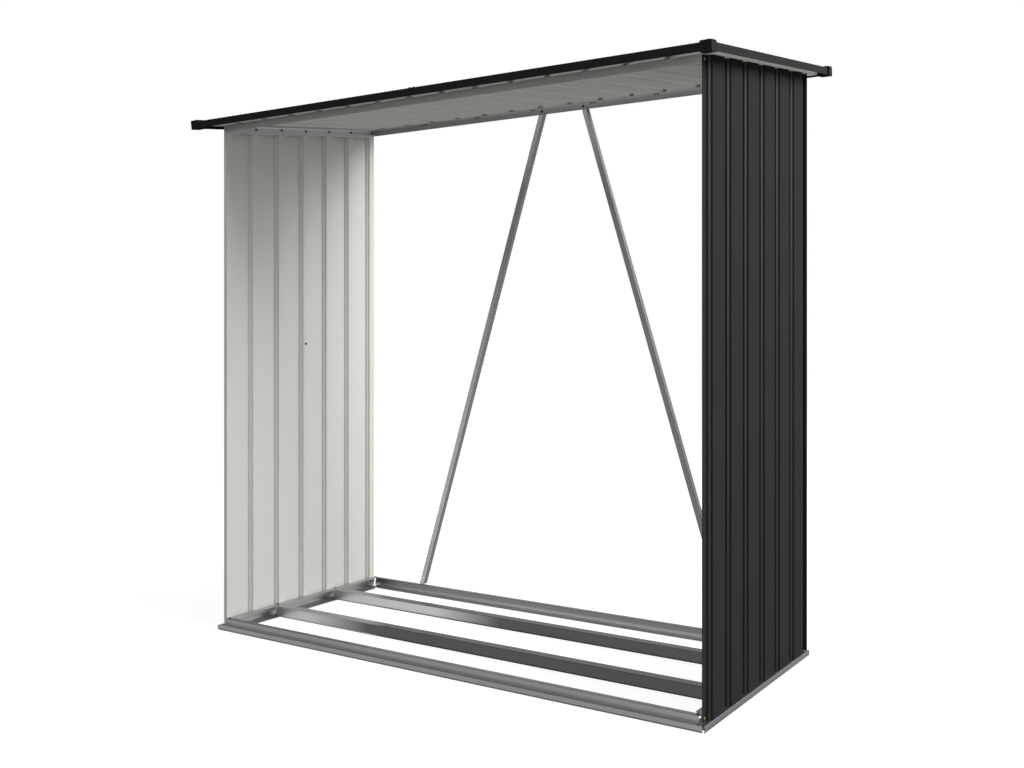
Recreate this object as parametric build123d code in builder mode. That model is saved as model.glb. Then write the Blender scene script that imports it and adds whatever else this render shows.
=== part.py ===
from build123d import *
import os
from math import atan2, cos, degrees, sin, tan

# Open metal log store, millimetres, +Z up, front towards -Y, origin under the middle of the roof.
# A galvanised base and top frame carry ribbed sheet walls and a ribbed roof that rises to the back.

# Overall sizes
base_width = 1733.0
base_depth = 792.0
front_rail_top = 1671.0
back_rail_top = 1771.5
overhang_side = 48.8
overhang_front = 70.0
overhang_back = 70.0
fit_gap = 0.2

# Base frame: one folded section with a lip, a shelf for the walls, an upstand and two flanges
rail_gauge = 0.8
rail_setback = 15.5
base_height = 36.0
lip_height = 16.5
cross_top_reach = 32.0
cross_bottom_reach = 44.5
side_top_reach = 42.0
side_bottom_reach = 54.0
lip_bend = 3.0
rail_bend = 1.4
cross_setback = 6.5
corner_relief_start = 4.0
corner_relief_end = 21.0
low_tongue_start = 22.0
low_tongue_end = 42.0
high_tongue_start = 19.0
high_tongue_end = 31.0

# Floor rails: two hat sections between the base side rails
floor_rail_offset = 146.0
floor_rail_top = 36.0
floor_rail_foot = 4.0
floor_rail_foot_bend = 2.6
floor_rail_end_gap = 2.0
floor_rail_low_end = 27.0
floor_rail_high_end = 42.0

# Ribbed sheet: wide outer flats, narrow inner flats that meet the rails, a ledge half way up each web
sheet_gauge = 0.5
rib_depth = 13.3
valley_width = 24.5
riser_run = 2.0
riser_depth = 5.0
ledge_run = 6.0
lap_clearance = 3.0
pitches_per_sheet = 3
roof_sheets = 5
wall_plain_gap = 18.5
wall_first_valley = 32.0
wall_last_valley = 34.6
left_return_gap = 25.8
right_return_gap = 16.5
roof_edge_flat = 7.0

# Top frame
top_rail_height = 21.6
top_side_height = 26.0
top_flange = 28.0
top_rail_end_gap = 2.0

# Back braces
brace_width = 20.0
brace_depth = 18.5
brace_bend = 1.6
brace_top_offset = 81.5
brace_foot_offset = 618.0
brace_top_drop = 3.0
brace_tab_reach = 13.0

# Roof edge trim and corner caps
trim_gauge = 0.6
trim_seat = 2.3
trim_height = 22.3
trim_top_flange = 18.0
trim_bend = 1.2
cap_wall = 5.6
cap_length = 31.0
cap_rise = 3.7
cap_drop = 3.1
cap_corner_radius = 1.5
cap_chamfer = 2.4

# Roof slope, worked out between the outer faces of the front and back top rails
slope_run = base_depth - 2 * rail_setback
slope = atan2(back_rail_top - front_rail_top, slope_run)

# The roof sheet lies on the top rails, and the trim laps over its ribs
sheet_top = fit_gap + sheet_gauge + rib_depth
trim_top = sheet_top + trim_seat + trim_gauge
trim_bottom = trim_top - trim_height
cap_top = trim_top + fit_gap + cap_rise
cap_bottom = trim_bottom - fit_gap - cap_drop

# Plan places: the roof's box, caps included, is centred on the origin
roof_half = base_width / 2 + overhang_side
roof_front_reach = overhang_front + cap_top * sin(slope)
roof_back_reach = overhang_back - cap_bottom * sin(slope)
base_front = (roof_front_reach - roof_back_reach - base_depth) / 2
base_back = base_front + base_depth
base_middle = base_front + base_depth / 2
base_half = base_width / 2
frame_front = base_front + rail_setback
frame_back = base_back - rail_setback
frame_half = base_half - rail_setback

along_x = Vector(1, 0, 0)
along_y = Vector(0, 1, 0)
up_slope = Vector(0, cos(slope), sin(slope))
roof_plane = Plane((0, frame_front, front_rail_top), x_dir=along_x, z_dir=(0, -sin(slope), cos(slope)))
roof_front = -(rail_setback + overhang_front) / cos(slope)
roof_back = (base_depth - rail_setback + overhang_back) / cos(slope)


def roof_point(across, up, height=0):
    """A point given across the roof, up its slope and square to it."""
    return roof_plane.from_local_coords(Vector(across, up, height))


def folded_section(points, bend, gauge):
    """The section of a folded sheet, from the middle line of its folds."""
    with BuildLine() as fold:
        FilletPolyline(*points, radius=bend)
    trace(fold.line, line_width=gauge)


def creased_section(points, gauge):
    """The section of a thin sheet with sharp folds, from its middle line."""
    places = [Vector(x, y) for x, y in points]
    runs = [(end - start).normalized() for start, end in zip(places, places[1:])]
    squares = [Vector(-run.Y, run.X) for run in runs]
    near, far = [], []
    for place, before, after in zip(places, squares[:1] + squares, squares + squares[-1:]):
        half = (before + after) * (gauge / (2 + 2 * before.dot(after)))
        near.append(place + half)
        far.append(place - half)
    with BuildLine() as outline:
        Polyline(*near, *reversed(far), close=True)
    make_face(outline.edges())


def finish(node, part):
    """Name a finished piece and write it."""
    part.label = node
    export_step(part, f"parts/{node}.step")


def cut_mitre(corner, along, inward, setback):
    """Cut the end of a rail on the diagonal from its corner."""
    split(bisect_by=Plane(corner + along * setback, z_dir=along - inward), keep=Keep.TOP)


def rectangle_sides(left, right, front, back, point, across, up):
    """The four sides of a frame: name, start corner, direction along it, direction inward, length."""
    return [
        ("front", point(left, front), across, up, right - left),
        ("right", point(right, front), up, -across, back - front),
        ("back", point(right, back), -across, -up, right - left),
        ("left", point(left, back), -up, across, back - front),
    ]


os.makedirs("parts", exist_ok=True)

# Base rails, mitred at the corners, where the bottom flanges are cut out.
# The side rails' tongues lie on and under the flanges of the others.
half_gauge = rail_gauge / 2
base_bends = [rail_bend, rail_bend, lip_bend, rail_bend]
tongues = [
    (low_tongue_start, low_tongue_end, rail_gauge),
    (high_tongue_start, high_tongue_end, base_height - 2 * rail_gauge),
]


def base_section(top_reach, bottom_reach):
    """The middle line of a base rail: top flange, upstand, shelf, lip and bottom flange."""
    return [
        (top_reach, base_height - half_gauge),
        (rail_setback + half_gauge, base_height - half_gauge),
        (rail_setback + half_gauge, lip_height - half_gauge),
        (half_gauge, lip_height - half_gauge),
        (half_gauge, half_gauge),
        (bottom_reach, half_gauge),
    ]


def corner_squares(start, end, length):
    """A square at each end of a rail, between two distances from its outer faces."""
    middle = (start + end) / 2
    for along in (middle, length - middle):
        with BuildLine() as square:
            Polyline(
                (along + start - middle, start),
                (along + end - middle, start),
                (along + end - middle, end),
                (along + start - middle, end),
                close=True,
            )
        make_face(square.edges())


def ground_point(across, back):
    """A point on the ground."""
    return Vector(across, back, 0)


base_sides = rectangle_sides(-base_half, base_half, base_front, base_back, ground_point, along_x, along_y)
for side, corner, along, inward, length in base_sides:
    if side in ("left", "right"):
        section = base_section(side_top_reach, side_bottom_reach)
        setback = 0
        side_tongues = tongues
    else:
        section = base_section(cross_top_reach, cross_bottom_reach)
        setback = cross_setback
        side_tongues = []
    with BuildPart() as base_rail:
        with BuildSketch(Plane(corner, x_dir=inward, z_dir=along)):
            folded_section(section, base_bends, rail_gauge)
        extrude(amount=length)
        cut_mitre(corner, along, inward, setback)
        cut_mitre(corner + along * length, -along, inward, setback)
        with BuildSketch(Plane(corner, x_dir=along, z_dir=(0, 0, 1))):
            corner_squares(corner_relief_start, corner_relief_end, length)
        extrude(amount=rail_gauge, mode=Mode.SUBTRACT)
        for start, end, height in side_tongues:
            with BuildSketch(Plane(corner + Vector(0, 0, height), x_dir=along, z_dir=(0, 0, 1))):
                corner_squares(start, end, length)
            extrude(amount=rail_gauge)
    finish(f"base_{side}_rail", base_rail.part)

# Floor rails, tucked between the flanges of the base side rails; their webs end on a slant
floor_low = rail_gauge + fit_gap + half_gauge
floor_high = base_height - rail_gauge - fit_gap - half_gauge
floor_crown = floor_rail_top / 2 - half_gauge
floor_reach = floor_rail_top / 2 + floor_rail_foot
floor_section = [
    (-floor_reach, floor_low),
    (-floor_crown, floor_low),
    (-floor_crown, floor_high),
    (floor_crown, floor_high),
    (floor_crown, floor_low),
    (floor_reach, floor_low),
]
floor_bends = [floor_rail_foot_bend, rail_bend, rail_bend, floor_rail_foot_bend]
floor_half = frame_half - rail_gauge - floor_rail_end_gap
floor_tab = floor_high - half_gauge - rail_bend
for place, offset in (("front", -floor_rail_offset), ("back", floor_rail_offset)):
    with BuildPart() as floor_rail:
        with BuildSketch(Plane((-floor_half, base_middle + offset, 0), x_dir=along_y, z_dir=along_x)):
            folded_section(floor_section, floor_bends, rail_gauge)
        extrude(amount=2 * floor_half)
        with BuildSketch(Plane((0, base_middle + offset, 0), x_dir=along_x, z_dir=-along_y)):
            for end in (-1, 1):
                with BuildLine():
                    Polyline(
                        (end * base_half, 0),
                        (end * (base_half - floor_rail_low_end), 0),
                        (end * (base_half - floor_rail_high_end), floor_tab),
                        (end * base_half, floor_tab),
                        close=True,
                    )
                make_face()
        extrude(amount=floor_reach, both=True, mode=Mode.SUBTRACT)
    finish(f"floor_rail_{place}", floor_rail.part)


web_run = 2 * riser_run + ledge_run


def ribbed_line(pitch, ribs, start, end, lift):
    """The middle line of a ribbed sheet, with its first inner flat lifted over the sheet before it."""
    points = [(start, lift)]
    for rib in range(ribs):
        rise = rib * pitch + valley_width / 2
        fall = (rib + 1) * pitch - valley_width / 2
        points += [
            (rise, lift if rib == 0 else 0),
            (rise + riser_run, riser_depth),
            (rise + riser_run + ledge_run, rib_depth - riser_depth),
            (rise + web_run, rib_depth),
            (fall - web_run, rib_depth),
            (fall - riser_run - ledge_run, rib_depth - riser_depth),
            (fall - riser_run, riser_depth),
            (fall, 0),
        ]
    points.append((end, 0))
    return points


# Walls: two lapped sheets a side stand on the base shelf and meet the upstand and the top rail.
# The left wall is the right one turned about: one end is plain, the other folds out to the ribs' height.
lap_lift = sheet_gauge + fit_gap
lap_edge = valley_width / 2 - lap_clearance
wall_places = ["front", "back"]
wall_pitch = (base_depth - wall_first_valley - wall_last_valley) / (len(wall_places) * pitches_per_sheet)
sheet_run = pitches_per_sheet * wall_pitch
wall_plane_offset = frame_half + fit_gap + sheet_gauge / 2
wall_foot = lip_height + rail_bend
for side, outward, return_gap in (("left", -1, left_return_gap), ("right", 1, right_return_gap)):
    for sheet, place in enumerate(wall_places[::outward]):
        if sheet == 0:
            edge = wall_plain_gap - wall_first_valley
            line = ribbed_line(wall_pitch, pitches_per_sheet, edge, sheet_run + lap_edge, 0)
        else:
            edge = sheet_run + wall_last_valley - return_gap
            line = ribbed_line(wall_pitch, pitches_per_sheet, -lap_edge, edge, lap_lift)
            line.append((edge, rib_depth))
        valley = wall_first_valley + sheet * sheet_run - base_depth / 2
        origin = Vector(outward * wall_plane_offset, base_middle + outward * valley, wall_foot)
        with BuildPart() as wall_sheet:
            with BuildSketch(Plane(origin)):
                creased_section([(outward * deep, outward * run) for run, deep in line], sheet_gauge)
            extrude(amount=back_rail_top)
            split(bisect_by=roof_plane, keep=Keep.BOTTOM)
        finish(f"{side}_wall_{place}_sheet", wall_sheet.part)

# Top rails across the front and back: an upright web and a flange in the roof's slope
cross_half = frame_half - fit_gap
for place, face, top, inward in (
    ("front", frame_front, front_rail_top, 1),
    ("back", frame_back, back_rail_top, -1),
):
    corner_rise = inward * half_gauge * tan(slope) - half_gauge / cos(slope)
    flange_rise = corner_rise + inward * top_flange * sin(slope)
    cross_section = [
        (inward * half_gauge, -top_rail_height),
        (inward * half_gauge, corner_rise),
        (inward * (half_gauge + top_flange * cos(slope)), flange_rise),
    ]
    with BuildPart() as cross_rail:
        with BuildSketch(Plane((-cross_half, face, top), x_dir=along_y, z_dir=along_x)):
            folded_section(cross_section, rail_bend, rail_gauge)
        extrude(amount=2 * cross_half)
    finish(f"top_{place}_rail", cross_rail.part)

# Top rails along the sides, under the flanges of the front and back ones
side_top = -rail_gauge - fit_gap - half_gauge
side_section = [
    (half_gauge, side_top + half_gauge - top_side_height),
    (half_gauge, side_top),
    (top_flange, side_top),
]
side_clear = rail_gauge + top_rail_end_gap
for side, outward in (("left", -1), ("right", 1)):
    with BuildPart() as side_rail:
        with BuildSketch(Plane(roof_point(outward * frame_half, 0), x_dir=along_x, z_dir=-up_slope)):
            folded_section([(-outward * x, height) for x, height in side_section], rail_bend, rail_gauge)
        extrude(amount=-slope_run / cos(slope))
        split(bisect_by=Plane((0, frame_front + side_clear, 0), z_dir=along_y), keep=Keep.TOP)
        split(bisect_by=Plane((0, frame_back - side_clear, 0), z_dir=-along_y), keep=Keep.TOP)
    finish(f"top_{side}_rail", side_rail.part)

# Back braces: channels from the base to the back top rail, flanges to the rear and a tab under each foot
brace_foot = Vector(brace_foot_offset, frame_back + fit_gap, base_height)
brace_head = Vector(brace_top_offset, frame_back + fit_gap, back_rail_top - brace_top_drop)
brace_span = brace_head - brace_foot
brace_run = brace_span.normalized()
brace_half = brace_width / 2 - half_gauge
brace_floor = base_height + fit_gap
brace_tab_width = brace_width * brace_span.length / brace_span.Z
brace_section = [
    (-brace_half, brace_depth),
    (-brace_half, half_gauge),
    (brace_half, half_gauge),
    (brace_half, brace_depth),
]
for side, outward in (("left", -1), ("right", 1)):
    run = Vector(outward * brace_run.X, 0, brace_run.Z)
    foot = Vector(outward * brace_foot.X, brace_foot.Y, brace_foot.Z)
    with BuildPart() as brace:
        with BuildSketch(Plane(foot - run * base_height, x_dir=run.cross(along_y), z_dir=-run)):
            folded_section(brace_section, brace_bend, rail_gauge)
        extrude(amount=-brace_span.length - 2 * base_height)
        split(bisect_by=Plane((0, 0, brace_floor), z_dir=(0, 0, 1)), keep=Keep.TOP)
        split(bisect_by=Plane((0, 0, brace_head.Z), z_dir=(0, 0, -1)), keep=Keep.TOP)
        with Locations((foot.X, foot.Y + rail_gauge, brace_floor)):
            Box(brace_tab_width, brace_tab_reach, rail_gauge, align=(Align.CENTER, Align.MAX, Align.MIN))
    finish(f"back_brace_{side}", brace.part)

# Roof sheets, lapped side by side on the front and back top rails
trim_inset = cap_wall + fit_gap
roof_edge = roof_half - trim_inset - trim_gauge - fit_gap
roof_ribs = roof_sheets * pitches_per_sheet
roof_pitch = 2 * (roof_edge - roof_edge_flat) / roof_ribs
sheet_start = roof_front + trim_inset + trim_gauge + fit_gap
sheet_end = roof_back - trim_inset - trim_gauge - fit_gap
for sheet in range(roof_sheets):
    first = sheet == 0
    last = sheet == roof_sheets - 1
    edge_start = -roof_edge_flat if first else -lap_edge
    edge_end = pitches_per_sheet * roof_pitch + (roof_edge_flat if last else lap_edge)
    line = ribbed_line(roof_pitch, pitches_per_sheet, edge_start, edge_end, 0 if first else lap_lift)
    left_valley = -roof_edge + roof_edge_flat + sheet * pitches_per_sheet * roof_pitch
    with BuildPart() as roof_sheet:
        sheet_origin = roof_point(left_valley, sheet_end, fit_gap + sheet_gauge / 2)
        with BuildSketch(Plane(sheet_origin, x_dir=along_x, z_dir=-up_slope)):
            creased_section(line, sheet_gauge)
        extrude(amount=sheet_end - sheet_start)
    finish(f"roof_sheet_{sheet + 1}", roof_sheet.part)

# Edge trim: an angle round the roof with a drip edge, in two lengths at the front and back
half_trim = trim_gauge / 2
trim_section = [
    (trim_top_flange, trim_top - half_trim),
    (half_trim, trim_top - half_trim),
    (half_trim, trim_bottom),
]
trim_sides = rectangle_sides(
    -roof_half + trim_inset,
    roof_half - trim_inset,
    roof_front + trim_inset,
    roof_back - trim_inset,
    roof_point,
    along_x,
    up_slope,
)
for side, corner, along, inward, length in trim_sides:
    halves = {"front": ("left", "right"), "back": ("right", "left")}.get(side, ("",))
    piece_length = length / len(halves)
    for step, half in enumerate(halves):
        start = corner + along * piece_length * step
        with BuildPart() as trim:
            with BuildSketch(Plane(start, x_dir=inward, z_dir=along)):
                folded_section(trim_section, trim_bend, trim_gauge)
            extrude(amount=piece_length)
            if step == 0:
                cut_mitre(corner, along, inward, fit_gap)
            else:
                split(bisect_by=Plane(start + along * fit_gap, z_dir=along), keep=Keep.TOP)
            if step == len(halves) - 1:
                cut_mitre(corner + along * length, -along, inward, fit_gap)
        finish(f"{side}_trim_{half}" if half else f"{side}_trim", trim.part)

# Corner caps: moulded covers over the trim's corners
cap_height = cap_top - cap_bottom
cap_hollow = trim_height + 2 * fit_gap
roof_centre = roof_point(0, (roof_front + roof_back) / 2)
cap_axis = Axis(roof_plane.origin, roof_plane.z_dir)
for place, edge, sign in (("front", roof_front, 1), ("back", roof_back, -1)):
    for side, outward in (("left", -1), ("right", 1)):
        across = outward * (roof_half - cap_length / 2)
        up = edge + sign * cap_length / 2
        with BuildPart(roof_plane) as cap:
            with Locations((across, up, (cap_top + cap_bottom) / 2)):
                Box(cap_length, cap_length, cap_height)
            top_edges = cap.faces().sort_by(cap_axis)[-1].edges()
            chamfer(top_edges.sort_by_distance(roof_centre)[-2:], cap_chamfer)
            fillet(cap.edges().filter_by(cap_axis).sort_by_distance(roof_centre)[-1], cap_corner_radius)
            hollow = (across - outward * cap_wall, up + sign * cap_wall, (trim_top + trim_bottom) / 2)
            with Locations(hollow):
                Box(cap_length, cap_length, cap_hollow, mode=Mode.SUBTRACT)
        finish(f"corner_cap_{place}_{side}", cap.part)
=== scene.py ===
from collections import namedtuple
from math import atan2, cos, pi, radians, sin, tan

import bpy
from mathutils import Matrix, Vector


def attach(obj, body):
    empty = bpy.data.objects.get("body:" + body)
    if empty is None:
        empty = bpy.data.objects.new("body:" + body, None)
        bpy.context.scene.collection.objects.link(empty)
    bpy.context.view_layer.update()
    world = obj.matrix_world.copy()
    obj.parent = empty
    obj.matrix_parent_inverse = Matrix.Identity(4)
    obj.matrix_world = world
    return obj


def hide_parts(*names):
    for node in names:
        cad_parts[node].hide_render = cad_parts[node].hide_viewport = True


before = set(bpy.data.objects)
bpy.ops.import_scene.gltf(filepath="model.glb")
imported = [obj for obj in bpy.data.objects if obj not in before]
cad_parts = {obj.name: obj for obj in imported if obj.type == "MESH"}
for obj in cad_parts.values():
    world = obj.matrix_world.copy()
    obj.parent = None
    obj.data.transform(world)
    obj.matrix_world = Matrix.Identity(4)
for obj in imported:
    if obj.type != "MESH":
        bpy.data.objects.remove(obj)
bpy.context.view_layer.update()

# Camera: level, on the photo's two-point perspective (pixels of the 1024 wide picture, metres, degrees)
PICTURE_WIDTH = 1024
FOCAL_PIXELS = 1098
HORIZON_ABOVE_MIDDLE = 49.7
SENSOR = 36.0
CAMERA_AT = (1.9509, -2.8999, 0.9789)
CAMERA_AZIMUTH = 33.36
CAMERA_LEVEL = 90

# Frame of the part: sizes and places that the finishes, roof sheets and fasteners follow (metres)
STORE_HEIGHT = 1.8
BASE_HALF = 0.8665
BASE_FRONT = -0.3952
BASE_DEPTH = 0.792
BASE_MIDDLE = BASE_FRONT + BASE_DEPTH / 2
BASE_BACK = BASE_FRONT + BASE_DEPTH
BASE_TOP = 0.036
SHELF = 0.0165
FLOOR_RAIL_OFFSET = 0.146
SETBACK = 0.0155
GAUGE = 0.0008
FRONT_TOP = 1.671
BACK_TOP = 1.7715
FRAME_FRONT = BASE_FRONT + SETBACK
FRAME_BACK = BASE_BACK - SETBACK
FRAME_HALF = BASE_HALF - SETBACK

# Sheets: their thickness, the gap under them and how far a lapped sheet lies above the one below it
SHEET = 0.0005
SHEET_SEAT = 0.0002
LAP_LIFT = 0.0007

# Walls: the inner flats, counted from the front on the right wall and from the back on the left
FIRST_FLAT = 0.032
LAST_FLAT = 0.0346
WALL_PITCHES = 6
LAP_FLAT = 3
WALL_PITCH = (BASE_DEPTH - FIRST_FLAT - LAST_FLAT) / WALL_PITCHES

# Roof: its slope and outline, then the profile of its sheets
SLOPE = atan2(BACK_TOP - FRONT_TOP, FRAME_BACK - FRAME_FRONT)
SLOPE_LENGTH = (FRAME_BACK - FRAME_FRONT) / cos(SLOPE)
OVERHANG = 0.070
ROOF_HALF = 0.9153
ROOF_FRONT = -(SETBACK + OVERHANG) / cos(SLOPE)
ROOF_BACK = (BASE_DEPTH - SETBACK + OVERHANG) / cos(SLOPE)
TRIM_TOP = 0.0169
CAP_TOP = 0.0208
SHEET_INSET = 0.0066
ROOF_EDGE = ROOF_HALF - SHEET_INSET
ROOF_SHEETS = 5
RIBS_PER_SHEET = 3
ROOF_PITCH = 0.1189
RIB_HEIGHT = 0.0133
RIB_TOP = 0.0245
RISER_RUN = 0.002
RISER_DEPTH = 0.005
LEDGE_RUN = 0.006
LAP_REACH = 0.00925

# Directions
UP = (0, 0, 1)
RIGHT = (1, 0, 0)
FORWARD = (0, -1, 0)
UP_SLOPE = Vector((0, cos(SLOPE), sin(SLOPE)))
OFF_ROOF = Vector((0, -sin(SLOPE), cos(SLOPE)))
ROOF_ORIGIN = Vector((0, FRAME_FRONT, FRONT_TOP))

scene = bpy.context.scene
scene.view_settings.view_transform = "Standard"


def roof_point(across, up, height):
    """A point given across the roof, up its slope and square to it."""
    return ROOF_ORIGIN + Vector(RIGHT) * across + UP_SLOPE * up + OFF_ROOF * height


def grey(tone):
    """A neutral colour."""
    return (tone, tone, tone)


def new_material(name):
    """A new node material with its tree and principled shader."""
    material = bpy.data.materials.new(name)
    material.use_nodes = True
    tree = material.node_tree
    return material, tree, tree.nodes["Principled BSDF"]


def ramp_of(tree, low, high):
    """A colour ramp between two colours."""
    ramp = tree.nodes.new("ShaderNodeValToRGB")
    ramp.color_ramp.elements[0].color = (*low, 1)
    ramp.color_ramp.elements[1].color = (*high, 1)
    return ramp


def noise_of(tree, scale):
    """A noise pattern in the object's own coordinates."""
    place = tree.nodes.new("ShaderNodeTexCoord")
    cloud = tree.nodes.new("ShaderNodeTexNoise")
    cloud.inputs["Scale"].default_value = scale
    tree.links.new(place.outputs["Object"], cloud.inputs["Vector"])
    return cloud


def looking(tree, direction, least):
    """One where the surface looks along a direction, and zero elsewhere."""
    surface = tree.nodes.new("ShaderNodeNewGeometry")
    facing = tree.nodes.new("ShaderNodeVectorMath")
    facing.operation = "DOT_PRODUCT"
    facing.inputs[1].default_value = direction
    over = tree.nodes.new("ShaderNodeMath")
    over.operation = "GREATER_THAN"
    over.inputs[1].default_value = least
    tree.links.new(surface.outputs["True Normal"], facing.inputs[0])
    tree.links.new(facing.outputs["Value"], over.inputs[0])
    return over.outputs["Value"]


def colour_mix(tree, blend="MIX"):
    """A node that mixes two colours."""
    mix = tree.nodes.new("ShaderNodeMix")
    mix.data_type = "RGBA"
    mix.blend_type = blend
    return mix


# A shade for painted light and painted shade: stops of (share of the way, tone), the direction that they
# follow, and where it starts and ends
Shade = namedtuple("Shade", "tones direction start end", defaults=(UP, 0.0, BASE_TOP))


def shaded(tree, shade):
    """Tones that follow each other along a direction in the object's own coordinates."""
    place = tree.nodes.new("ShaderNodeTexCoord")
    along = tree.nodes.new("ShaderNodeVectorMath")
    along.operation = "DOT_PRODUCT"
    along.inputs[1].default_value = shade.direction
    share = tree.nodes.new("ShaderNodeMapRange")
    share.inputs["From Min"].default_value = shade.start
    share.inputs["From Max"].default_value = shade.end
    ramp = tree.nodes.new("ShaderNodeValToRGB")
    stops = ramp.color_ramp.elements
    while len(stops) < len(shade.tones):
        stops.new(1.0)
    for stop, (position, tone) in zip(stops, shade.tones):
        stop.position = position
        stop.color = (*grey(tone), 1)
    tree.links.new(place.outputs["Object"], along.inputs[0])
    tree.links.new(along.outputs["Value"], share.inputs["Value"])
    tree.links.new(share.outputs["Result"], ramp.inputs["Fac"])
    return ramp.outputs["Color"]


def galvanised_material(name, shade, way=None, way_painted_tones=None):
    """Zinc coated sheet with a faint spangle and a cloudy gloss.

    Its tones are painted shade and painted reflection; faces that look a given way can have painted tones
    of their own.
    """
    material, tree, shader = new_material(name)
    shader.inputs["Metallic"].default_value = 0.78
    place = tree.nodes.new("ShaderNodeTexCoord")
    spangle = tree.nodes.new("ShaderNodeTexVoronoi")
    spangle.inputs["Scale"].default_value = 140
    flakes = ramp_of(tree, grey(0.95), grey(1.0))
    colour = colour_mix(tree, "MULTIPLY")
    colour.inputs["Factor"].default_value = 1.0
    cloud = noise_of(tree, scale=25)
    rough = tree.nodes.new("ShaderNodeMapRange")
    rough.inputs["To Min"].default_value = 0.36
    rough.inputs["To Max"].default_value = 0.44
    tone = shaded(tree, shade)
    if way is not None:
        sides = colour_mix(tree)
        tree.links.new(looking(tree, way, least=0.3), sides.inputs["Factor"])
        tree.links.new(tone, sides.inputs["A"])
        tree.links.new(shaded(tree, way_painted_tones), sides.inputs["B"])
        tone = sides.outputs["Result"]
    tree.links.new(place.outputs["Object"], spangle.inputs["Vector"])
    tree.links.new(spangle.outputs["Color"], flakes.inputs["Fac"])
    tree.links.new(tone, colour.inputs["A"])
    tree.links.new(flakes.outputs["Color"], colour.inputs["B"])
    tree.links.new(colour.outputs["Result"], shader.inputs["Base Color"])
    tree.links.new(cloud.outputs["Fac"], rough.inputs["Value"])
    tree.links.new(rough.outputs["Result"], shader.inputs["Roughness"])
    return material


# Painted highlight on the front-facing ledges of the wall ribs, lighter towards the top
LEDGE_PAINTED_HIGHLIGHT = Shade([(0.1, 0.035), (0.5, 0.042), (0.85, 0.061), (1.0, 0.060)], end=STORE_HEIGHT)
PALE_SPREAD = 0.02


def coated_sheet_material(name, outward, tone, right_painted_light=None, painted_highlight_way=None):
    """Coated steel sheet: anthracite on the face towards outward, pale grey-green on the other.

    Pale faces that look to the right can have a tone of their own, painted light that makes them lighter.
    Dark ledges that look the way given for them get a painted highlight, a lighter tone.
    """
    material, tree, shader = new_material(name)
    shader.inputs["Roughness"].default_value = 0.6
    shader.inputs["Specular IOR Level"].default_value = 0.0
    cloud = noise_of(tree, scale=7)
    dark = ramp_of(tree, grey(0.0215), grey(0.0245))
    low, high = ([level * value for value in tone] for level in (1 - PALE_SPREAD, 1 + PALE_SPREAD))
    pale = ramp_of(tree, low, high)
    colour = colour_mix(tree)
    tree.links.new(cloud.outputs["Fac"], dark.inputs["Fac"])
    tree.links.new(cloud.outputs["Fac"], pale.inputs["Fac"])
    inside = pale.outputs["Color"]
    # Painted light: pale faces that look to the right take a lighter tone
    if right_painted_light is not None:
        sides = colour_mix(tree)
        sides.inputs["B"].default_value = (*right_painted_light, 1)
        tree.links.new(looking(tree, RIGHT, least=0.2), sides.inputs["Factor"])
        tree.links.new(inside, sides.inputs["A"])
        inside = sides.outputs["Result"]
    outside = dark.outputs["Color"]
    # Painted highlight on the dark ledges
    if painted_highlight_way is not None:
        ledges = colour_mix(tree)
        tree.links.new(looking(tree, painted_highlight_way, least=0.97), ledges.inputs["Factor"])
        tree.links.new(outside, ledges.inputs["A"])
        tree.links.new(shaded(tree, LEDGE_PAINTED_HIGHLIGHT), ledges.inputs["B"])
        outside = ledges.outputs["Result"]
    tree.links.new(looking(tree, outward, least=0.0), colour.inputs["Factor"])
    tree.links.new(inside, colour.inputs["A"])
    tree.links.new(outside, colour.inputs["B"])
    tree.links.new(colour.outputs["Result"], shader.inputs["Base Color"])
    return material


def plain_material(name, low, high, scale, roughness, specular, metallic=0.0):
    """A finish with a faint cloudy unevenness."""
    material, tree, shader = new_material(name)
    cloud = noise_of(tree, scale)
    ramp = ramp_of(tree, low, high)
    shader.inputs["Roughness"].default_value = roughness
    shader.inputs["Specular IOR Level"].default_value = specular
    shader.inputs["Metallic"].default_value = metallic
    tree.links.new(cloud.outputs["Fac"], ramp.inputs["Fac"])
    tree.links.new(ramp.outputs["Color"], shader.inputs["Base Color"])
    return material


# Zinc, with painted shade and painted reflection in its tones: over their height on the base rails, aslant
# on the floor rails, hardly at all on the top frame
# Front base rail: painted shade darkens it all over, most along its bottom edge and on its top flange
zinc_front_painted_shade = galvanised_material(
    "zinc_front_painted_shade", Shade([(0.08, 0.09), (0.16, 0.28), (0.955, 0.28), (0.97, 0.14)])
)
# Right base rail: painted shade, dark all over and darker towards the bottom
zinc_right_painted_shade = galvanised_material("zinc_right_painted_shade", Shade([(0.1, 0.055), (0.45, 0.11)]))
zinc_left = galvanised_material("zinc_left", Shade([(0.0, 0.42), (1.0, 0.43)]))
# Back base rail: painted reflection lightens it towards the bottom, painted shade darkens it towards the
# top edge
zinc_back_painted_light_and_shade = galvanised_material(
    "zinc_back_painted_light_and_shade", Shade([(0.0, 0.80), (0.5, 0.26), (0.9, 0.21), (0.97, 0.12)])
)
# Floor rails: painted reflection lightens their left ends, up to a line that runs aslant; their top faces
# are painted dark, with a painted reflection only at the left end
zinc_floor_painted_reflection = galvanised_material(
    "zinc_floor_painted_reflection",
    Shade([(0.0, 0.62), (1.0, 0.105)], direction=(1, -1.106, 0), start=-0.51, end=-0.235),
    way=UP,
    way_painted_tones=Shade([(0.0, 0.38), (1.0, 0.05)], direction=(1, 0.848, 0), start=-0.56, end=-0.48),
)
zinc_top = galvanised_material("zinc_top", Shade([(0.0, 0.42), (1.0, 0.45)], end=STORE_HEIGHT))

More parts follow.
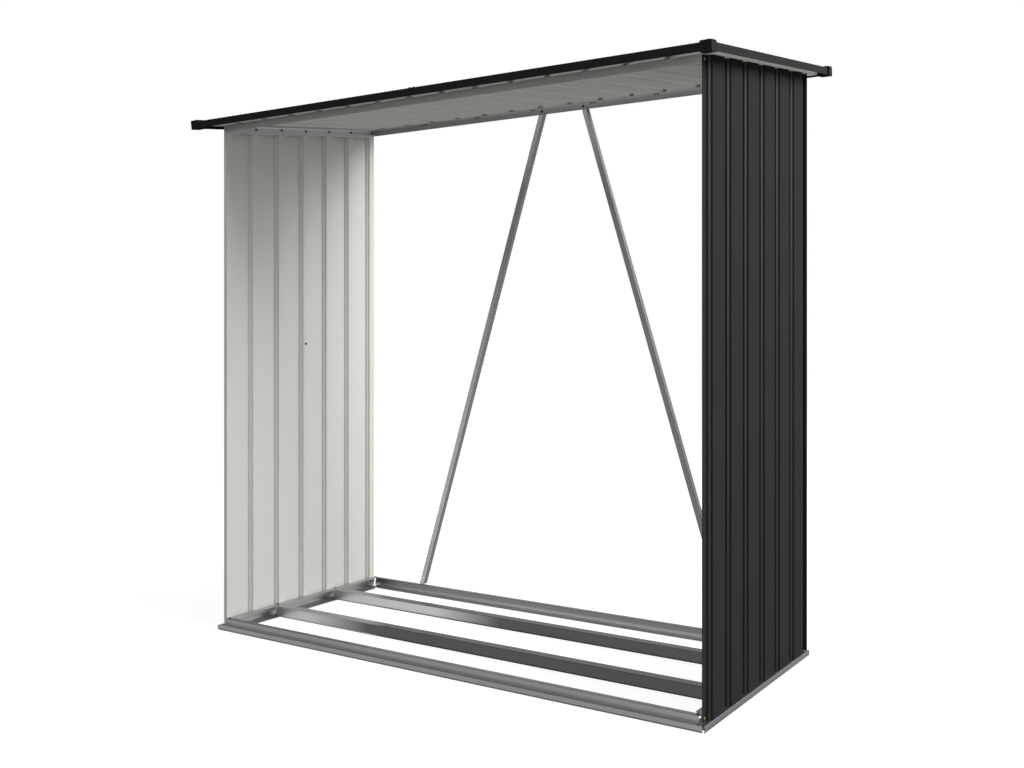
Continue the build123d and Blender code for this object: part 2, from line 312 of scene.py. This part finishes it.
# Braces: painted reflection and painted shade make them light and dark along their length, and painted
# shade darkens the side that looks to the right
brace_side_painted_shade = Shade([(0.0, 0.14), (1.0, 0.12)], end=STORE_HEIGHT)
zinc_brace_left_painted_sheen = galvanised_material(
    "zinc_brace_left_painted_sheen",
    Shade([(0.2, 0.67), (0.72, 0.21), (0.83, 0.25), (0.97, 0.90)], end=STORE_HEIGHT),
    way=RIGHT,
    way_painted_tones=brace_side_painted_shade,
)
zinc_brace_right_painted_sheen = galvanised_material(
    "zinc_brace_right_painted_sheen",
    Shade([(0.8, 0.185), (0.86, 0.30), (0.97, 0.88)], end=STORE_HEIGHT),
    way=RIGHT,
    way_painted_tones=brace_side_painted_shade,
)

# Coated sheets: the ledges on the outside of the wall ribs look outwards and to the front, and carry a
# painted highlight
LEDGE_OUT = 0.876
LEDGE_FRONT = -0.482
WALL_TONE = (0.715, 0.735, 0.68)
wall_left = coated_sheet_material(
    "coated_wall_left_and_painted_highlight", outward=(-1, 0.3, 0), tone=WALL_TONE, painted_highlight_way=(-LEDGE_OUT, LEDGE_FRONT, 0)
)
wall_right = coated_sheet_material(
    "coated_wall_right_and_painted_highlight", outward=(1, -0.3, 0), tone=WALL_TONE, painted_highlight_way=(LEDGE_OUT, LEDGE_FRONT, 0)
)
# Roof: the pale rib webs that look to the right are painted lighter, as painted light
roof = coated_sheet_material(
    "coated_roof_and_painted_light", outward=(-0.2, 0, 1), tone=(0.64, 0.655, 0.605), right_painted_light=(0.76, 0.77, 0.70)
)

# Trim, caps and fasteners
trim = plain_material("coated_trim", grey(0.0235), grey(0.0265), scale=30, roughness=0.6, specular=0.0)
cap = plain_material("moulded_cap", grey(0.0205), grey(0.0235), scale=60, roughness=0.6, specular=0.0)
brass = plain_material(
    "yellow_zinc",
    (0.15, 0.09, 0.02),
    (0.32, 0.20, 0.055),
    scale=400,
    roughness=0.35,
    specular=0.5,
    metallic=1.0,
)
brown = plain_material(
    "brown_zinc",
    (0.045, 0.022, 0.005),
    (0.12, 0.065, 0.016),
    scale=400,
    roughness=0.4,
    specular=0.5,
    metallic=0.6,
)
dark_bolt = plain_material(
    "dark_bolt", (0.030, 0.033, 0.026), (0.045, 0.049, 0.040), scale=300, roughness=0.5, specular=0.1
)

own_finishes = {
    "back_brace_left": zinc_brace_left_painted_sheen,
    "back_brace_right": zinc_brace_right_painted_sheen,
    "base_front_rail": zinc_front_painted_shade,
    "base_right_rail": zinc_right_painted_shade,
    "base_left_rail": zinc_left,
    "base_back_rail": zinc_back_painted_light_and_shade,
}
for name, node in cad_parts.items():
    if name.startswith("left_wall"):
        finish = wall_left
    elif name.startswith("right_wall"):
        finish = wall_right
    elif name.startswith("roof_sheet"):
        finish = roof
    elif name.startswith("corner_cap"):
        finish = cap
    elif "trim" in name:
        finish = trim
    elif name.startswith("floor_rail"):
        finish = zinc_floor_painted_reflection
    elif name in own_finishes:
        finish = own_finishes[name]
    else:
        finish = zinc_top
    node.data.materials.clear()
    node.data.materials.append(finish)


def mesh_piece(name, points, faces, material):
    """Make a mesh piece with its finish, and let it ride on the part."""
    mesh = bpy.data.meshes.new(name)
    mesh.from_pydata(points, [], faces)
    mesh.validate()
    mesh.materials.append(material)
    piece = bpy.data.objects.new(name, mesh)
    scene.collection.objects.link(piece)
    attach(piece, "root")
    return piece


def roof_line(start, end, lift):
    """The underside of a roof sheet across the roof: wide flats on the rails, narrow ribs upward."""
    web = 2 * RISER_RUN + LEDGE_RUN
    points = [(start, RIB_HEIGHT + lift)]
    for rib in range(RIBS_PER_SHEET):
        fall = rib * ROOF_PITCH + RIB_TOP / 2
        rise = (rib + 1) * ROOF_PITCH - RIB_TOP / 2
        points += [
            (fall, RIB_HEIGHT + (lift if rib == 0 else 0)),
            (fall + RISER_RUN, RIB_HEIGHT - RISER_DEPTH),
            (fall + RISER_RUN + LEDGE_RUN, RISER_DEPTH),
            (fall + web, 0),
            (rise - web, 0),
            (rise - RISER_RUN - LEDGE_RUN, RISER_DEPTH),
            (rise - RISER_RUN, RIB_HEIGHT - RISER_DEPTH),
            (rise, RIB_HEIGHT),
        ]
    points.append((end, RIB_HEIGHT))
    return points


def roof_sheet(number):
    """Points and faces of one roof sheet, lapped over the rib of the sheet before it."""
    first = number == 0
    last = number == ROOF_SHEETS - 1
    left_rib = (number - ROOF_SHEETS / 2) * RIBS_PER_SHEET * ROOF_PITCH
    start = -ROOF_EDGE - left_rib if first else -LAP_REACH
    end = ROOF_EDGE - left_rib if last else RIBS_PER_SHEET * ROOF_PITCH + LAP_REACH
    line = roof_line(start, end, 0 if first else LAP_LIFT)
    points = []
    for up in (ROOF_FRONT + SHEET_INSET, ROOF_BACK - SHEET_INSET):
        for seat in (SHEET_SEAT, SHEET_SEAT + SHEET):
            points += [roof_point(left_rib + across, up, seat + height) for across, height in line]
    count = len(line)
    under_front, over_front, under_back, over_back = (count * row for row in range(4))
    faces = []
    for place in range(count - 1):
        after = place + 1
        faces += [
            (under_front + after, under_front + place, under_back + place, under_back + after),
            (over_front + place, over_front + after, over_back + after, over_back + place),
            (under_front + place, under_front + after, over_front + after, over_front + place),
            (under_back + after, under_back + place, over_back + place, over_back + after),
        ]
    for place, turn in ((0, 1), (count - 1, -1)):
        side = (under_front + place, over_front + place, over_back + place, under_back + place)
        faces.append(side[::turn])
    return points, faces


# Roof: sheets with their ribs upward stand for the CAD sheets
for number in range(ROOF_SHEETS):
    sheet = mesh_piece(f"ribbed_roof_sheet_{number + 1}", *roof_sheet(number), roof)
    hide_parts(f"roof_sheet_{number + 1}")


# Fasteners: turned profiles of (radius, height) in metres, and the number of sides that each is turned with
HEAD_PROFILE = [
    (0.0046, 0.0), (0.0046, 0.0006), (0.0037, 0.0010), (0.0034, 0.0020), (0.0025, 0.0027),
    (0.0012, 0.0029), (0.0009, 0.0019), (0.0, 0.0017),
]
HEAD_SIDES = 16
NUT_PROFILE = [(0.0038, 0.0), (0.0041, 0.0004), (0.0041, 0.0024), (0.0037, 0.0029), (0.0, 0.0029)]
NUT_SIDES = 6
BOLT_END_PROFILE = [(0.0022, 0.0024), (0.0022, 0.0040), (0.0015, 0.0048), (0.0, 0.0048)]
BOLT_END_SIDES = 12
TIP_PROFILE = [(0.0023, 0.0), (0.0023, 0.0030), (0.0009, 0.0055), (0.0, 0.0058)]
TIP_SIDES = 10


class Fasteners:
    """Many small turned forms in one mesh."""

    def __init__(self):
        self.points = []
        self.faces = []

    def turn(self, profile, sides, at, axis):
        """Add one turned form that stands at a point along an axis."""
        spin = Vector(UP).rotation_difference(Vector(axis))
        first = len(self.points)
        for radius, height in profile:
            for side in range(sides):
                angle = 2 * pi * side / sides
                local = Vector((radius * cos(angle), radius * sin(angle), height))
                self.points.append(Vector(at) + spin @ local)
        for ring in range(len(profile) - 1):
            low = first + ring * sides
            for side in range(sides):
                after = (side + 1) % sides
                self.faces.append((low + side, low + after, low + sides + after, low + sides + side))

    def head(self, at, axis):
        """A pan head screw."""
        self.turn(HEAD_PROFILE, HEAD_SIDES, at, axis)

    def nut(self, at, axis):
        """A nut with the end of its bolt."""
        self.turn(NUT_PROFILE, NUT_SIDES, at, axis)
        self.turn(BOLT_END_PROFILE, BOLT_END_SIDES, at, axis)

    def tip(self, at, axis):
        """The point of a screw."""
        self.turn(TIP_PROFILE, TIP_SIDES, at, axis)

    def build(self, name, material):
        """Make the piece."""
        mesh_piece(name, self.points, self.faces, material)


screws = Fasteners()
base_screws = Fasteners()
bolts = Fasteners()

# Base: screws in the corner flanges and shelves, and where the floor rails end
FLANGE_SCREW_ACROSS = 0.030
FLANGE_SCREW_IN = 0.026
SHELF_SCREW_ACROSS = 0.019
SHELF_SCREW_IN = 0.008
FLOOR_SCREW_ACROSS = 0.026
for side in (-1, 1):
    for edge, inward in ((BASE_FRONT, 1), (BASE_BACK, -1)):
        flange = (side * (BASE_HALF - FLANGE_SCREW_ACROSS), edge + inward * FLANGE_SCREW_IN, BASE_TOP)
        base_screws.head(flange, UP)
        shelf = (side * (BASE_HALF - SHELF_SCREW_ACROSS), edge + inward * SHELF_SCREW_IN, SHELF)
        base_screws.head(shelf, UP)
    for offset in (-FLOOR_RAIL_OFFSET, FLOOR_RAIL_OFFSET):
        base_screws.head((side * (BASE_HALF - FLOOR_SCREW_ACROSS), BASE_MIDDLE + offset, BASE_TOP), UP)

# Walls: a screw at the foot and the head of each inner flat, and one half way up the lap
FOOT_SCREW_HEIGHT = 0.026
HEAD_SCREW_DROP = 0.010
LAP_SCREW_HEIGHT = 0.945
for side in (-1, 1):
    outward = (side, 0, 0)
    inward = (-side, 0, 0)
    for flat in range(WALL_PITCHES + 1):
        depth = BASE_MIDDLE + side * (FIRST_FLAT + flat * WALL_PITCH - BASE_DEPTH / 2)
        head_height = FRONT_TOP + (depth - FRAME_FRONT) * tan(SLOPE) - HEAD_SCREW_DROP
        lift = LAP_LIFT if flat == LAP_FLAT else 0.0
        face = side * (FRAME_HALF + SHEET_SEAT + SHEET + lift)
        batch = screws if flat == 0 else bolts
        for height in (FOOT_SCREW_HEIGHT, head_height):
            batch.head((face, depth, height), outward)
        bolts.nut((side * (FRAME_HALF - GAUGE), depth, head_height), inward)
        if flat == LAP_FLAT:
            bolts.head((face, depth, LAP_SCREW_HEIGHT), outward)
            base_screws.nut((side * (FRAME_HALF + SHEET_SEAT), depth, LAP_SCREW_HEIGHT), inward)

# Top frame: bolts at the braces, and the points of screws at the corners and along the back rail
BRACE_BOLT_ACROSS = 0.0835
BRACE_BOLT_DROP = 0.010
CORNER_TIPS_IN = (0.006, 0.020)
TIP_DROP = 0.0025
ROOF_SCREW_PLACES = (0.12, 0.36, 0.60)
ROOF_SCREW_SPREAD = 0.006
ROOF_SCREWS = [
    side * (place + step)
    for side in (-1, 1)
    for place in ROOF_SCREW_PLACES
    for step in (-ROOF_SCREW_SPREAD, ROOF_SCREW_SPREAD)
]
back_face = FRAME_BACK - GAUGE
for side in (-1, 1):
    bolts.nut((side * BRACE_BOLT_ACROSS, back_face, BACK_TOP - BRACE_BOLT_DROP), FORWARD)
    for tip_in in CORNER_TIPS_IN:
        bolts.tip((side * (FRAME_HALF - tip_in), back_face, BACK_TOP - TIP_DROP), FORWARD)
for across in ROOF_SCREWS:
    bolts.tip((across, back_face, BACK_TOP - TIP_DROP), FORWARD)

# Roof: pairs of screws in every second flat, over the front and back rails
ROOF_SCREW_IN = 0.0145
for across in ROOF_SCREWS:
    for up in (ROOF_SCREW_IN, SLOPE_LENGTH - ROOF_SCREW_IN):
        bolts.head(roof_point(across, up, SHEET_SEAT + SHEET), OFF_ROOF)

# Roof edge: a screw in each cap, and one on each side of where the trims meet
CAP_SCREW_IN = 0.0145
TRIM_SCREW_IN = 0.013
TRIM_SCREW_ACROSS = 0.007
for side in (-1, 1):
    for up in (ROOF_FRONT + CAP_SCREW_IN, ROOF_BACK - CAP_SCREW_IN):
        screws.head(roof_point(side * (ROOF_HALF - CAP_SCREW_IN), up, CAP_TOP), OFF_ROOF)
    for up in (ROOF_FRONT + TRIM_SCREW_IN, ROOF_BACK - TRIM_SCREW_IN):
        bolts.head(roof_point(side * TRIM_SCREW_ACROSS, up, TRIM_TOP), OFF_ROOF)

screws.build("yellow_screws", brass)
base_screws.build("brown_screws", brown)
bolts.build("dark_bolts", dark_bolt)

# Floor: white to the camera and in reflections, and it keeps a faint shadow
FLOOR_HALF = 12.0
FLOOR_GLOW = 0.88
FLOOR_SHADE_TONE = 0.25
FLOOR_PAINT_TONE = 0.29
corners = [(x * FLOOR_HALF, y * FLOOR_HALF, 0) for x, y in ((-1, -1), (1, -1), (1, 1), (-1, 1))]
floor_mesh = bpy.data.meshes.new("floor")
floor_mesh.from_pydata(corners, [], [(0, 1, 2, 3)])
floor = bpy.data.objects.new("floor", floor_mesh)
scene.collection.objects.link(floor)


def background_rays(tree):
    """One for the rays that show the background: camera, glossy and transmission rays."""
    path = tree.nodes.new("ShaderNodeLightPath")
    total = path.outputs["Is Camera Ray"]
    for kind in ("Is Glossy Ray", "Is Transmission Ray"):
        either = tree.nodes.new("ShaderNodeMath")
        either.operation = "MAXIMUM"
        tree.links.new(total, either.inputs[0])
        tree.links.new(path.outputs[kind], either.inputs[1])
        total = either.outputs["Value"]
    return total


def floor_material():
    """White floor: glowing white to the camera and in reflections, plain paint to other light."""
    material, tree, shader = new_material("floor")
    shade = tree.nodes.new("ShaderNodeBsdfDiffuse")
    shade.inputs["Color"].default_value = (*grey(FLOOR_SHADE_TONE), 1)
    glow = tree.nodes.new("ShaderNodeEmission")
    glow.inputs["Strength"].default_value = FLOOR_GLOW
    white = tree.nodes.new("ShaderNodeAddShader")
    paint = tree.nodes.new("ShaderNodeBsdfDiffuse")
    paint.inputs["Color"].default_value = (*grey(FLOOR_PAINT_TONE), 1)
    mix = tree.nodes.new("ShaderNodeMixShader")
    tree.links.new(glow.outputs["Emission"], white.inputs[0])
    tree.links.new(shade.outputs["BSDF"], white.inputs[1])
    tree.links.new(background_rays(tree), mix.inputs["Fac"])
    tree.links.new(paint.outputs["BSDF"], mix.inputs[1])
    tree.links.new(white.outputs["Shader"], mix.inputs[2])
    tree.nodes.remove(shader)
    tree.links.new(mix.outputs["Shader"], tree.nodes["Material Output"].inputs["Surface"])
    return material


floor_mesh.materials.append(floor_material())

# World: white to the camera and in reflections, a low soft light otherwise
AMBIENT = 0.50
world = bpy.data.worlds.new("studio")
scene.world = world
world.use_nodes = True
sky = world.node_tree
backdrop = sky.nodes["Background"]
backdrop.inputs["Color"].default_value = (*grey(1.0), 1)
strength = sky.nodes.new("ShaderNodeMapRange")
strength.inputs["To Min"].default_value = AMBIENT
strength.inputs["To Max"].default_value = 1.0
sky.links.new(background_rays(sky), strength.inputs["Value"])
sky.links.new(strength.outputs["Result"], backdrop.inputs["Strength"])


def area_light(name, at, towards, width, height, power):
    """A soft box aimed at a point."""
    lamp = bpy.data.lights.new(name, "AREA")
    lamp.shape = "RECTANGLE"
    lamp.size = width
    lamp.size_y = height
    lamp.energy = power
    light = bpy.data.objects.new(name, lamp)
    light.location = at
    light.rotation_euler = (Vector(towards) - Vector(at)).to_track_quat("-Z", "Y").to_euler()
    scene.collection.objects.link(light)


area_light("key_right", at=(5.0, 1.55, 4.35), towards=(0.9, 0, 1.2), width=7.5, height=3.2, power=720)

camera_data = bpy.data.cameras.new("camera")
camera_data.sensor_width = SENSOR
camera_data.lens = SENSOR * FOCAL_PIXELS / PICTURE_WIDTH
camera_data.shift_y = -HORIZON_ABOVE_MIDDLE / PICTURE_WIDTH
camera = bpy.data.objects.new("camera", camera_data)
camera.location = CAMERA_AT
camera.rotation_euler = (radians(CAMERA_LEVEL), 0, radians(CAMERA_AZIMUTH))
scene.collection.objects.link(camera)
scene.camera = camera
